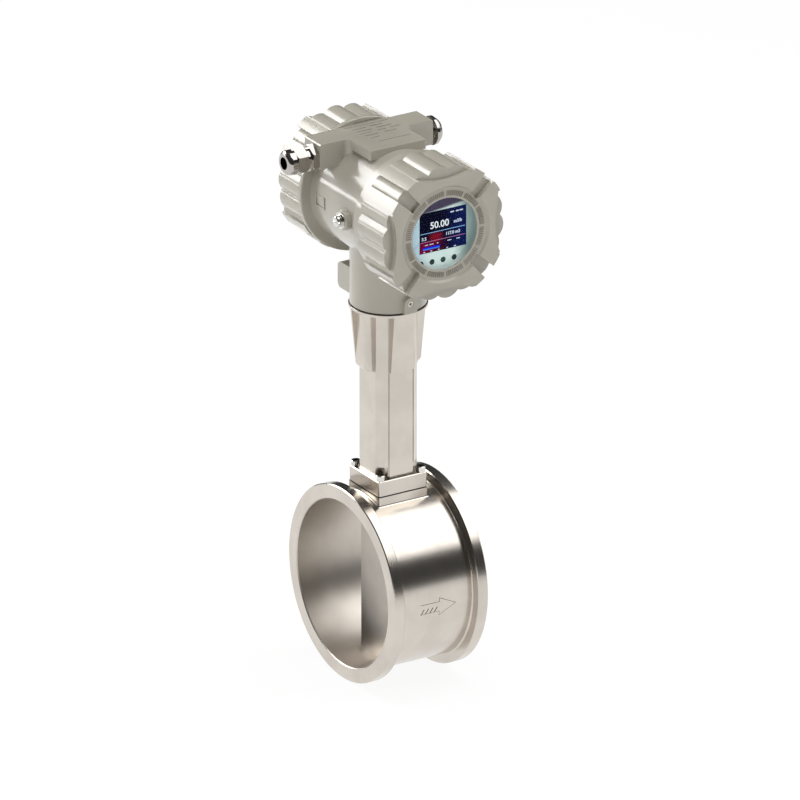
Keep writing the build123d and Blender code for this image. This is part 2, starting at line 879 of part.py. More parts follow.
def gland_rod(radius, start, end):
    return rod_x(radius, out(start), out(end), entry_y, entry_z)


def make_gland_body():
    """Threaded stub, hexagon and threaded barrel in one piece, bored for the seal."""
    hexed = hexagon(gland_across_corners / 2, out(0), out(gland_hex_length), entry_y, entry_z)
    hexed &= chamfer(gland_rod(gland_across_corners / 2, 0, gland_hex_length).edges(), gland_nut_edge)
    body = hexed + gland_rod(entry_r, -gland_thread_length, 0)
    body += gland_rod(gland_barrel_r, gland_hex_length, gland_barrel_end)
    return body - gland_rod(gland_bore_r, -gland_thread_length, gland_barrel_end)


def make_gland_seal():
    seal = gland_rod(gland_seal_r, gland_seal_start, gland_seal_end)
    return seal - gland_rod(gland_cable_r, gland_seal_start, gland_seal_end)


def make_gland_slip():
    start = gland_seal_end + gland_slip_gap
    ring = gland_rod(gland_slip_r, start, start + gland_slip_thickness)
    return ring - gland_rod(gland_mouth_r, start, start + gland_slip_thickness)


def make_gland_nut():
    """Dome nut: hexagon with a rounded nose and a cable mouth."""
    hex_end = gland_nut_start + gland_nut_hex_length
    corner_r = gland_across_corners / 2
    flats = hexagon(corner_r, out(gland_nut_start), out(hex_end), entry_y, entry_z)
    flats &= chamfer(gland_rod(corner_r, gland_nut_start, hex_end).edges(), gland_nut_edge)
    nose = gland_rod(corner_r * hex_flat, hex_end, gland_nut_end)
    nut = flats + fillet(nose.edges().group_by(Axis.X)[-1], gland_nose_r)
    slip_end = gland_seal_end + gland_slip_gap + gland_slip_thickness + gland_slip_gap
    nut -= gland_rod(gland_barrel_r + running_gap, gland_nut_start, slip_end)
    return nut - gland_rod(gland_mouth_r, slip_end, gland_nut_end)


def on_left(shape):
    """Move a gland piece, drawn for the right end, to the bar's left end."""
    return on_column * mirror(shape, Plane.YZ)


# Stopping plug in the other entry


def make_blanking_plug():
    """Threaded plug with a low hexagon and a domed cap."""
    corner_r = plug_r / hex_flat
    flats = hexagon(corner_r, out(0), out(plug_hex_length), entry_y, entry_z)
    flats &= chamfer(gland_rod(corner_r, 0, plug_hex_length).edges(), gland_nut_edge)
    cap = fillet(gland_rod(plug_cap_r, 0, plug_length).edges().group_by(Axis.X)[-1], plug_cap_edge)
    return on_column * (flats + cap + gland_rod(entry_r, -gland_thread_length, 0))


# Write every piece


parts = {
    "flow_tube": make_flow_tube(),
    "shedder_bar": make_shedder_bar(),
    "sensor_probe": make_sensor_probe(),
    "flange_gasket": make_flange_gasket(),
    "base_plate": make_base_plate(),
    "base_screws": make_base_screws(),
    "column_tube": make_column_tube(),
    "neck_adapter": make_neck_adapter(),
    "swivel_seal": make_swivel_seal(),
    "housing": make_housing(),
    "set_screw": make_set_screw(),
    "ground_washers": make_ground_washers(),
    "ground_screw": make_ground_screw(),
    "front_cover": make_front_cover(),
    "front_cover_ring": make_cover_ring(collar_front_y, -1),
    "rear_cover": make_rear_cover(),
    "rear_cover_ring": make_cover_ring(flange_back_y, 1),
    "window_glass": make_window_glass(),
    "window_gasket": make_window_gasket(),
    "window_ring": make_window_ring(),
    "display_overlay": make_display_overlay(),
    "display_screen": make_display_screen(),
    "key_sensors": make_key_sensors(),
    "display_housing": make_display_housing(),
    "board_posts": make_board_posts(),
    "main_board": make_main_board(),
    "terminal_block": make_terminal_block(),
    "terminal_screws": make_terminal_screws(),
    "gland_body": on_left(make_gland_body()),
    "gland_seal": on_left(make_gland_seal()),
    "gland_slip": on_left(make_gland_slip()),
    "gland_nut": on_left(make_gland_nut()),
    "blanking_plug": make_blanking_plug(),
}

for name, shape in parts.items():
    export_step(shape, f"parts/{name}.step")
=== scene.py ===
"""Vortex flow meter: finishes, markings, display picture, studio and camera.

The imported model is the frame. Every piece made here is in metres, in the same
frame: X along the bore from the inlet face, Z up the column, the display
towards -Y, and the bore's axis at Z = 0.
"""

from __future__ import annotations

import logging
import math
from dataclasses import dataclass
from enum import Enum
from typing import Callable, Sequence

import bmesh
import bpy
import numpy as np
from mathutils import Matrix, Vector

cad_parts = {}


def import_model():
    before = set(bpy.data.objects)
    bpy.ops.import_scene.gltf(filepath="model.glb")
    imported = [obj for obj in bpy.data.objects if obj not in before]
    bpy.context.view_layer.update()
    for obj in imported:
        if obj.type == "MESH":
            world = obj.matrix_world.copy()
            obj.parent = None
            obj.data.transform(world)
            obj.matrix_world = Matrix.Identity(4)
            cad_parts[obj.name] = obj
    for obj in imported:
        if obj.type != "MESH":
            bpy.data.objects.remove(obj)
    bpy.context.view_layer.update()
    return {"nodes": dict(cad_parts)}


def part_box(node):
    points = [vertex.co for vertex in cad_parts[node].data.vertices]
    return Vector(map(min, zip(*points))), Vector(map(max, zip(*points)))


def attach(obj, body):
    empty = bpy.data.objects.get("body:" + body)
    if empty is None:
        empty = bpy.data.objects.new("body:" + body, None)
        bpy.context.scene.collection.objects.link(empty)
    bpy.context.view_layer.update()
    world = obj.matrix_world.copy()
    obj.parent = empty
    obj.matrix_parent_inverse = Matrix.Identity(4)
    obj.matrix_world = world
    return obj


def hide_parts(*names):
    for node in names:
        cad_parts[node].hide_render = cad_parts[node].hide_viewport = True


log = logging.getLogger("flow_meter")

Color = tuple[float, float, float]
Point = tuple[float, float, float]
Socket = bpy.types.NodeSocket
Shell = tuple[np.ndarray, Sequence[Sequence[int]]]

MM = 0.001
COLUMN_X = 0.047
BARREL_Z = 0.347
MIX_FIRST_COLOR, MIX_SECOND_COLOR, MIX_RESULT_COLOR = 6, 7, 2


class Body(Enum):
    """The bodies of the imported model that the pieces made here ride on."""

    METER = "meter"
    HEAD = "head"
    FRONT_LID = "front_lid"


class Lay(Enum):
    """The way the fine lines of a machined or brushed surface run."""

    TURNED_ABOUT_BORE = "rings about the bore"
    TURNED_ABOUT_BARREL = "rings about the barrel"
    ALONG_COLUMN = "lines up the column"
    ACROSS_PLATE = "level lines round the plate"
    CAST = "no lines"


# Node trees


class Tree:
    """A material's or world's nodes, added and joined by short calls."""

    def __init__(self, owner: bpy.types.Material | bpy.types.World) -> None:
        """Empties the owner's node tree.

        Args:
            owner: The material or world that gets the nodes.
        """
        owner.use_nodes = True
        self.nodes = owner.node_tree.nodes
        self.links = owner.node_tree.links
        self.nodes.clear()

    def add(self, kind: str, **values: object) -> bpy.types.Node:
        """Adds one node.

        Args:
            kind: The node's type without the ShaderNode prefix.
            values: Node properties, or input sockets by name with _ for a space.

        Returns:
            The new node.
        """
        node = self.nodes.new("ShaderNode" + kind)
        for key, value in values.items():
            if hasattr(node, key):
                setattr(node, key, value)
            else:
                self.feed(node.inputs[key.replace("_", " ")], value)
        return node

    def feed(self, socket: Socket, value: object) -> None:
        """Links a socket to an input, or sets the input's own value."""
        if isinstance(value, bpy.types.NodeSocket):
            self.links.new(value, socket)
        elif socket.type == "RGBA":
            socket.default_value = (*value, 1.0)
        else:
            socket.default_value = value

    def math(self, operation: str, first: object, second: object = 0.5) -> Socket:
        """Adds a Math node.

        Args:
            operation: The node's operation, such as MULTIPLY.
            first: A socket or number.
            second: A socket or number.

        Returns:
            The result's socket.
        """
        node = self.nodes.new("ShaderNodeMath")
        node.operation = operation
        self.feed(node.inputs[0], first)
        self.feed(node.inputs[1], second)
        return node.outputs[0]

    def radius(self, first: Socket, second: Socket) -> Socket:
        """How far a point lies from an axis, from its two ways across it."""
        return self.math("SQRT", self.math("ADD", self.math("POWER", first, 2.0), self.math("POWER", second, 2.0)))

    def step(self, value: Socket, start: float, end: float, low: float = 0.0, high: float = 1.0) -> Socket:
        """A smooth rise of value between two places.

        Args:
            value: What is compared.
            start: Where the result is low.
            end: Where the result is high.
            low: The result at start.
            high: The result at end.

        Returns:
            The result's socket.
        """
        node = self.add("MapRange", interpolation_type="SMOOTHSTEP", Value=value)
        for name, number in (("From Min", start), ("From Max", end), ("To Min", low), ("To Max", high)):
            node.inputs[name].default_value = number
        return node.outputs[0]

    def noise(self, vector: Socket, scale: float, detail: float = 2.0) -> Socket:
        """Noise with that many cells to the unit of vector, as a number about 0.5."""
        return self.add("TexNoise", Vector=vector, Scale=scale, Detail=detail).outputs[0]

    def blend(self, share: object, first: object, second: object) -> Socket:
        """Mixes two colours.

        Args:
            share: How much of the second colour shows, a socket or number.
            first: A colour or socket.
            second: A colour or socket.

        Returns:
            The mixed colour's socket.
        """
        node = self.nodes.new("ShaderNodeMix")
        node.data_type = "RGBA"
        self.feed(node.inputs["Factor"], share)
        self.feed(node.inputs[MIX_FIRST_COLOR], first)
        self.feed(node.inputs[MIX_SECOND_COLOR], second)
        return node.outputs[MIX_RESULT_COLOR]

    def place(self, center: Point = (0.0, 0.0, 0.0)) -> Socket:
        """Object coordinates about a centre."""
        where = self.add("TexCoord").outputs["Object"]
        node = self.add("Mapping", vector_type="POINT", Vector=where)
        node.inputs["Location"].default_value = tuple(-c for c in center)
        return node.outputs[0]

    def axes(self, vector: Socket) -> tuple[Socket, Socket, Socket]:
        """The three numbers of a vector."""
        node = self.add("SeparateXYZ", Vector=vector)
        return node.outputs[0], node.outputs[1], node.outputs[2]

    def bump(self, height: Socket, distance: float, strength: float = 1.0) -> Socket:
        """A normal bent by height, whose full range stands for distance in metres."""
        node = self.add("Bump", Height=height, Distance=distance, Strength=strength)
        return node.outputs[0]

    def output(self, shader: Socket) -> None:
        """Joins the finished shader to the surface output."""
        self.links.new(shader, self.add("OutputMaterial").inputs["Surface"])


def principled(tree: Tree, **values: object) -> bpy.types.Node:
    """Adds the Principled shader and joins it to the output.

    Args:
        tree: The material's nodes.
        values: Input sockets by name with _ for a space.

    Returns:
        The shader's node.
    """
    node = tree.add("BsdfPrincipled", **values)
    tree.output(node.outputs[0])
    return node


# Finishes


@dataclass(frozen=True)
class Steel:
    """Machined or brushed metal with fine tool lines."""

    name: str
    color: Color
    roughness: float
    lay: Lay = Lay.CAST
    center: Point = (0.0, 0.0, 0.0)
    line_pitch: float = 0.5 * MM
    line_depth: float = 0.0006 * MM
    unevenness: float = 0.03
    bore_r: float = 0.0
    bore_extra: float = 0.0
    bore_fade: tuple[float, float] = (1.5 * MM, 0.5 * MM)

    def lines(self, tree: Tree, where: Socket) -> Socket:
        """Height of the tool lines.

        Args:
            tree: The material's nodes.
            where: Object coordinates about the finish's centre.

        Returns:
            Noise that changes quickly across the lines and slowly along them.
        """
        x, y, z = tree.axes(where)
        if self.lay is Lay.CAST:
            return tree.noise(where, 1.0 / (2.0 * self.line_pitch), 4.0)
        if self.lay is Lay.TURNED_ABOUT_BORE:
            across = tree.add("CombineXYZ", X=x, Y=tree.radius(y, z), Z=0.0).outputs[0]
        elif self.lay is Lay.TURNED_ABOUT_BARREL:
            across = tree.add("CombineXYZ", X=y, Y=tree.radius(x, z), Z=0.0).outputs[0]
        elif self.lay is Lay.ALONG_COLUMN:
            across = tree.add("CombineXYZ", X=x, Y=y, Z=tree.math("MULTIPLY", z, 0.02)).outputs[0]
        else:
            flat = tree.math("MULTIPLY", x, 0.02)
            deep = tree.math("MULTIPLY", y, 0.02)
            across = tree.add("CombineXYZ", X=flat, Y=deep, Z=z).outputs[0]
        return tree.noise(across, 1.0 / self.line_pitch, 3.0)

    def material(self) -> bpy.types.Material:
        """Builds the finish."""
        material = bpy.data.materials.new(self.name)
        tree = Tree(material)
        where = tree.place(self.center)
        lines = self.lines(tree, where)
        cloud = tree.noise(where, 28.0, 3.0)
        dull = tuple(0.9 * c for c in self.color)
        color = tree.blend(tree.step(cloud, 0.35, 0.7), self.color, dull)
        rough = tree.math(
            "ADD",
            tree.step(lines, 0.3, 0.7, self.roughness - 0.5 * self.unevenness, self.roughness + 0.5 * self.unevenness),
            tree.step(cloud, 0.3, 0.7, -0.3 * self.unevenness, 0.3 * self.unevenness),
        )
        if self.bore_r:
            _, y, z = tree.axes(where)
            fade_from, fade_to = (self.bore_r + depth for depth in self.bore_fade)
            rough = tree.math("ADD", rough, tree.step(tree.radius(y, z), fade_from, fade_to, 0.0, self.bore_extra))
        principled(
            tree,
            Base_Color=color,
            Metallic=1.0,
            Roughness=rough,
            Normal=tree.bump(lines, self.line_depth),
        )
        return material


@dataclass(frozen=True)
class Paint:
    """Sprayed paint over a casting, with a faint orange peel."""

    name: str
    color: Color
    roughness: float = 0.34
    peel_pitch: float = 2.2 * MM
    peel_depth: float = 0.004 * MM
    coat: float = 0.9

    def material(self) -> bpy.types.Material:
        """Builds the finish."""
        material = bpy.data.materials.new(self.name)
        tree = Tree(material)
        where = tree.place()
        peel = tree.noise(where, 1.0 / self.peel_pitch, 2.0)
        cloud = tree.noise(where, 22.0, 3.0)
        shade = tuple(0.94 * c for c in self.color)
        color = tree.blend(tree.step(cloud, 0.35, 0.68), self.color, shade)
        principled(
            tree,
            Base_Color=color,
            Roughness=tree.step(cloud, 0.3, 0.7, self.roughness - 0.03, self.roughness + 0.04),
            Coat_Weight=self.coat,
            Coat_Roughness=0.12,
            Normal=tree.bump(peel, self.peel_depth),
        )
        return material


@dataclass(frozen=True)
class Moulded:
    """Plastic, rubber or sheet with a fine grain."""

    name: str
    color: Color
    roughness: float = 0.5
    grain_pitch: float = 0.6 * MM
    grain_depth: float = 0.02 * MM

    def material(self) -> bpy.types.Material:
        """Builds the finish."""
        material = bpy.data.materials.new(self.name)
        tree = Tree(material)
        where = tree.place()
        grain = tree.noise(where, 1.0 / self.grain_pitch, 3.0)
        cloud = tree.noise(where, 60.0, 2.0)
        pale = tuple(min(1.0, 1.25 * c + 0.004) for c in self.color)
        principled(
            tree,
            Base_Color=tree.blend(tree.step(cloud, 0.4, 0.75), self.color, pale),
            Roughness=tree.step(grain, 0.3, 0.7, self.roughness - 0.06, self.roughness + 0.06),
            Normal=tree.bump(grain, self.grain_depth),
        )
        return material


@dataclass(frozen=True)
class Board:
    """Green lacquered circuit board with traces."""

    name: str = "board_lacquer"
    color: Color = (0.02, 0.12, 0.05)
    trace_color: Color = (0.05, 0.24, 0.10)
    pitch: float = 3.0 * MM

    def material(self) -> bpy.types.Material:
        """Builds the finish."""
        material = bpy.data.materials.new(self.name)
        tree = Tree(material)
        cells = tree.add("TexVoronoi", Vector=tree.place(), Scale=1.0 / self.pitch, distance="CHEBYCHEV")
        cells.feature = "F1"
        traces = tree.step(cells.outputs[0], 0.32, 0.36)
        principled(
            tree,
            Base_Color=tree.blend(traces, self.trace_color, self.color),
            Roughness=0.35,
            Coat_Weight=0.4,
            Normal=tree.bump(traces, 0.03 * MM),
        )
        return material


@dataclass(frozen=True)
class WindowGlass:
    """Clear toughened glass that lets lamps through to the display."""

    name: str = "window_glass_clear"
    clear: Color = (0.93, 0.97, 0.97)

    def material(self) -> bpy.types.Material:
        """Builds the finish: clear from the front, a mirror at a slant."""
        material = bpy.data.materials.new(self.name)
        tree = Tree(material)
        haze = tree.noise(tree.place(), 90.0, 2.0)
        tint = tree.blend(haze, self.clear, (0.97, 0.99, 0.99))
        body = tree.add("BsdfTransparent", Color=tint)
        mirror = tree.add("BsdfGlossy", Color=(1.0, 1.0, 1.0), Roughness=0.02)
        share = tree.step(tree.add("Fresnel", IOR=1.45).outputs[0], 0.08, 0.6, 0.0, 0.6)
        mix = tree.add("MixShader")
        tree.feed(mix.inputs[0], share)
        tree.feed(mix.inputs[1], body.outputs[0])
        tree.feed(mix.inputs[2], mirror.outputs[0])
        tree.output(mix.outputs[0])
        return material


@dataclass(frozen=True)
class FoilPrint:
    """The printed foil round the screen: pale blue with soft waves and a plum band on top, greyer towards the right by
    painted shade, and lit by a faint painted glow.
    """

    name: str = "foil_print"
    center: Point = (COLUMN_X, -0.0865, BARREL_Z)
    pale: Color = (0.56, 0.76, 0.92)
    white: Color = (0.86, 0.97, 0.93)
    # The grey is painted shade on the foil's right side.
    grey: Color = (0.36, 0.46, 0.45)
    teal: Color = (0.10, 0.24, 0.30)
    lilac: Color = (0.30, 0.25, 0.36)
    plum: Color = (0.06, 0.035, 0.09)
    # Emission strength of painted light: the foil is no lamp but glows faintly.
    glow: float = 0.3
    white_from: tuple[float, float] = (-0.026, -0.004)
    painted_shade_from: tuple[float, float] = (0.018, 0.034)
    wave_turns: float = 110.0
    wave_height: float = 0.0022
    wave_drop: float = 0.034
    curve_slope: float = 0.6
    curve_rise: float = -0.006
    band_slope: float = -0.12
    band_from: tuple[float, float] = (0.0195, 0.0225)
    plum_from: tuple[float, float] = (0.0235, 0.0275)

    def material(self) -> bpy.types.Material:
        """Builds the print, its painted shade and its painted glow from Object coordinates about the window's centre.
        """
        material = bpy.data.materials.new(self.name)
        tree = Tree(material)
        where = tree.place(self.center)
        x, _, z = tree.axes(where)
        drift = tree.math("MULTIPLY", tree.noise(where, 45.0, 2.0), 0.012)
        right = tree.step(tree.math("ADD", x, drift), *self.white_from)
        paled = tree.blend(right, self.pale, self.white)
        # The foil turns grey towards the right: painted shade, not print.
        ground = tree.blend(tree.step(tree.math("ADD", x, drift), *self.painted_shade_from), paled, self.grey)
        swing = tree.math("SINE", tree.math("MULTIPLY", x, self.wave_turns))
        wave = tree.math("ADD", tree.math("MULTIPLY", swing, self.wave_height), drift)
        line = tree.math("ABSOLUTE", tree.math("ADD", tree.math("ADD", z, self.wave_drop), wave))
        waved = tree.blend(tree.step(line, 0.0004, 0.0022, 0.75, 0.0), ground, self.teal)
        slant = tree.math("SUBTRACT", z, tree.math("MULTIPLY", x, self.curve_slope))
        second = tree.math("ABSOLUTE", tree.math("ADD", slant, self.curve_rise))
        curved = tree.blend(tree.step(second, 0.0004, 0.0030, 0.18, 0.0), waved, self.teal)
        top = tree.step(tree.math("ADD", z, tree.math("MULTIPLY", x, self.band_slope)), *self.band_from)
        banded = tree.blend(tree.step(tree.math("ADD", z, drift), *self.plum_from), self.lilac, self.plum)
        print_and_painted_light = tree.blend(top, curved, banded)
        principled(
            tree,
            Base_Color=print_and_painted_light,
            Roughness=0.35,
            # Painted light: the foil glows in its own colours.
            Emission_Color=print_and_painted_light,
            Emission_Strength=self.glow,
            Normal=tree.bump(tree.noise(where, 900.0), 0.01 * MM),
        )
        return material


@dataclass(frozen=True)
class ScreenPicture:
    """The lit picture behind the screen's digits: near black, with red, violet and blue light."""

    name: str = "screen_picture"
    center: Point = (0.0485, -0.0865, 0.3485)
    dark: Color = (0.004, 0.004, 0.016)
    glow: Color = (0.20, 0.006, 0.02)
    plum: Color = (0.16, 0.002, 0.035)
    navy: Color = (0.006, 0.012, 0.085)
    low_from: tuple[float, float] = (-0.007, -0.0095)
    left_from: tuple[float, float] = (0.014, -0.016)
    right_from: tuple[float, float] = (0.002, 0.026)
    spot_at: Point = (-0.007, 0.0, -0.0045)
    spot_from: tuple[float, float] = (0.0095, 0.002)
    spot_top: tuple[float, float] = (0.0, -0.003)

    def material(self) -> bpy.types.Material:
        """Builds the picture from Object coordinates about the screen's centre."""
        material = bpy.data.materials.new(self.name)
        tree = Tree(material)
        where = tree.place(self.center)
        x, _, z = tree.axes(where)
        drift = tree.math("MULTIPLY", tree.noise(where, 70.0), 0.012)
        low = tree.step(z, *self.low_from)
        left = tree.step(tree.math("ADD", x, drift), *self.left_from)
        reddened = tree.blend(tree.math("MULTIPLY", low, left), self.dark, self.plum)
        spot = tree.add("VectorMath", operation="DISTANCE")
        tree.links.new(where, spot.inputs[0])
        spot.inputs[1].default_value = self.spot_at
        near = tree.step(spot.outputs["Value"], *self.spot_from)
        warm = tree.math("MULTIPLY", near, tree.step(z, *self.spot_top))
        glowing = tree.blend(warm, reddened, self.glow)
        right = tree.step(tree.math("ADD", x, drift), *self.right_from)
        blued = tree.blend(tree.math("MULTIPLY", right, 0.85), glowing, self.navy)
        tree.output(tree.add("Emission", Color=blued, Strength=1.0).outputs[0])
        return material


@dataclass(frozen=True)
class Lit:
    """A lit mark on the screen, whose light is a little uneven as through a pixel grid."""

    name: str
    color: Color

    def material(self) -> bpy.types.Material:
        """Builds the finish."""
        material = bpy.data.materials.new(self.name)
        tree = Tree(material)
        grid = tree.noise(tree.place(), 1500.0, 1.0)
        dimmer = tuple(0.85 * c for c in self.color)
        shine = tree.add("Emission", Color=tree.blend(grid, self.color, dimmer), Strength=1.0)
        tree.output(shine.outputs[0])
        return material


# Meshes


def box_faces(stations: int) -> np.ndarray:
    """Quads of a bar with four corners at each station, closed at both ends."""
    base = 4 * np.arange(stations - 1)[:, None]
    corner = np.arange(4)[None, :]
    after = (corner + 1) % 4
    sides = np.stack([base + corner, base + after, base + 4 + after, base + 4 + corner], axis=2).reshape(-1, 4)
    last = 4 * (stations - 1)
    ends = np.array([[3, 2, 1, 0], [last, last + 1, last + 2, last + 3]])
    return np.concatenate([sides, ends])


def strokes(
    starts: np.ndarray,
    ends: np.ndarray,
    widths: np.ndarray,
    low: float,
    high: float,
    cuts: int = 6,
) -> tuple[np.ndarray, np.ndarray]:
    """Raised straight strokes on a flat sheet.

    A station at share t lies at start + t (end - start). Its four corners are
    half a width to either side of the stroke, at the low and the high height.

    Args:
        starts: Where each stroke starts, as (a, b) rows.
        ends: Where each stroke ends.
        widths: The width of each stroke.
        low: Height of the stroke's foot over the sheet.
        high: Height of its top.
        cuts: How many parts each stroke has along its length.

    Returns:
        Points as (a, b, height) rows, and quads.
    """
    starts, ends, widths = np.asarray(starts, float), np.asarray(ends, float), np.asarray(widths, float)
    share = np.linspace(0.0, 1.0, cuts + 1)[None, :, None]
    middle = starts[:, None, :] + share * (ends - starts)[:, None, :]
    along = (ends - starts) / np.linalg.norm(ends - starts, axis=1, keepdims=True)
    side = np.stack([-along[:, 1], along[:, 0]], axis=1) * widths[:, None] / 2.0
    signs = np.array([-1.0, 1.0, 1.0, -1.0])
    flat = middle[:, :, None, :] + signs[None, None, :, None] * side[:, None, None, :]
    height = np.broadcast_to(np.array([low, low, high, high])[None, None, :, None], flat.shape[:3] + (1,))
    points = np.concatenate([flat, height], axis=3).reshape(-1, 3)
    each = box_faces(cuts + 1)
    shift = 4 * (cuts + 1) * np.arange(len(starts))[:, None, None]
    return points, (each[None] + shift).reshape(-1, 4)


def on_tube(radius: float, column_x: float) -> Callable[[np.ndarray], np.ndarray]:
    """A sheet wrapped on the front of the tube.

    a runs along the bore from the column, b up round the tube, and the point
    stands at radius + height, turned by b / radius from the front.

    Args:
        radius: Outer radius of the tube.
        column_x: Where a is zero.

    Returns:
        The function from (a, b, height) rows to points.
    """

    def wrap(points: np.ndarray) -> np.ndarray:
        """Wraps the rows."""
        a, b, height = points.T
        turn = b / radius
        reach = radius + height
        return np.stack([column_x + a, -reach * np.cos(turn), reach * np.sin(turn)], axis=1)

    return wrap


def on_front(y: float, center_x: float, center_z: float) -> Callable[[np.ndarray], np.ndarray]:
    """A flat sheet that looks towards -Y, a to the right and b up.

    Args:
        y: Where the sheet lies.
        center_x: Where a is zero.
        center_z: Where b is zero.

    Returns:
        The function from (a, b, height) rows to points.
    """

    def stand(points: np.ndarray) -> np.ndarray:
        """Stands the rows up."""
        a, b, height = points.T
        return np.stack([center_x + a, y - height, center_z + b], axis=1)

    return stand


def on_top(z: float, center_x: float, center_y: float) -> Callable[[np.ndarray], np.ndarray]:
    """A flat sheet that looks up, a along X and b along Y.

    Args:
        z: Where the sheet lies.
        center_x: Where a is zero.
        center_y: Where b is zero.

    Returns:
        The function from (a, b, height) rows to points.
    """

    def lay(points: np.ndarray) -> np.ndarray:
        """Lays the rows down."""
        a, b, height = points.T
        return np.stack([center_x + a, center_y + b, z + height], axis=1)

    return lay


def loft(rings: np.ndarray) -> Shell:
    """A closed solid through rings of corners.

    Corner c of ring s is joined to corner c + 1 of the same ring and to corner
    c of the next, and the first and last ring are closed by a flat face.

    Args:
        rings: Points by ring, corner and axis.

    Returns:
        Points as rows, and faces.
    """
    stations, corners, _ = rings.shape
    base = corners * np.arange(stations - 1)[:, None]
    corner = np.arange(corners)[None, :]
    after = (corner + 1) % corners
    sides = np.stack([base + corner, base + after, base + corners + after, base + corners + corner], axis=2)
    last = corners * (stations - 1)
    ends = [list(range(corners))[::-1], list(range(last, last + corners))]
    return rings.reshape(-1, 3), sides.reshape(-1, 4).tolist() + ends


def upright(levels: np.ndarray, corners: Sequence[tuple[float | np.ndarray, float | np.ndarray]]) -> Shell:
    """A closed solid about the column's axis with one ring of corners at each level.

    Args:
        levels: Height of each ring.
        corners: For each corner, its way from the column's axis along X and along Y at each level.

    Returns:
        Points as rows, and faces.
    """
    flat = np.ones(len(levels))
    return loft(np.stack([np.stack([COLUMN_X + x * flat, y * flat, levels], axis=1) for x, y in corners], axis=1))


def join(shells: Sequence[Shell]) -> Shell:
    """Puts several closed solids into one list of points and one of faces."""
    shifts = np.cumsum([0] + [len(points) for points, _ in shells[:-1]])
    faces = [[index + int(shift) for index in face] for shift, (_, rows) in zip(shifts, shells) for face in rows]
    return np.concatenate([points for points, _ in shells]), faces


def circle(radii: Sequence[float], around: int = 96) -> tuple[np.ndarray, np.ndarray]:
    """The two ways across an axis of each point round it, by ring and point."""
    turn = 2.0 * math.pi * np.arange(around) / around
    return np.outer(radii, np.cos(turn)), np.outer(radii, np.sin(turn))


def make_piece(
    name: str,
    points: np.ndarray,
    faces: Sequence[Sequence[int]],
    finish: bpy.types.Material,
    body: Body,
) -> bpy.types.Object:
    """Makes one closed piece that rides on a body.

    Args:
        name: The piece's name.
        points: Rows in metres, in the shared frame.
        faces: The corners of each face.
        finish: The piece's material.
        body: The body it moves with.

    Returns:
        The new object.
    """
    mesh = bpy.data.meshes.new(name)
    mesh.from_pydata(points.tolist(), [], [tuple(face) for face in faces])
    mesh.validate()
    mesh.update()
    return finish_piece(bpy.data.objects.new(name, mesh), finish, body)


def finish_piece(piece: bpy.types.Object, finish: bpy.types.Material, body: Body) -> bpy.types.Object:
    """Links a piece, turns its faces outwards and gives it its finish and body.

    Args:
        piece: The object, at the origin.
        finish: The piece's material.
        body: The body it moves with.

    Returns:
        The same object.
    """
    bpy.context.scene.collection.objects.link(piece)
    shell = bmesh.new()
    shell.from_mesh(piece.data)
    bmesh.ops.recalc_face_normals(shell, faces=shell.faces)
    shell.to_mesh(piece.data)
    shell.free()
    piece.data.materials.clear()
    piece.data.materials.append(finish)
    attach(piece, body.value)
    log.info("made %s: %d faces", piece.name, len(piece.data.polygons))
    return piece


def ease_edges(piece: bpy.types.Object, width: float) -> None:
    """Rounds a piece's sharp edges by a narrow bevel."""
    bevel = piece.modifiers.new("eased_edges", "BEVEL")
    bevel.width = width
    bevel.segments = 2
    bevel.limit_method = "ANGLE"
    bevel.angle_limit = math.radians(25.0)


def dress(nodes: dict[str, bpy.types.Object], finish: bpy.types.Material, *names: str) -> None:
    """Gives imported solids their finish.

    Args:
        nodes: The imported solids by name.
        finish: The material they get.
        names: Which solids.
    """
    for name in names:
        nodes[name].data.materials.clear()
        nodes[name].data.materials.append(finish)
        log.info("dressed %s with %s", name, finish.name)


# Sub-assemblies


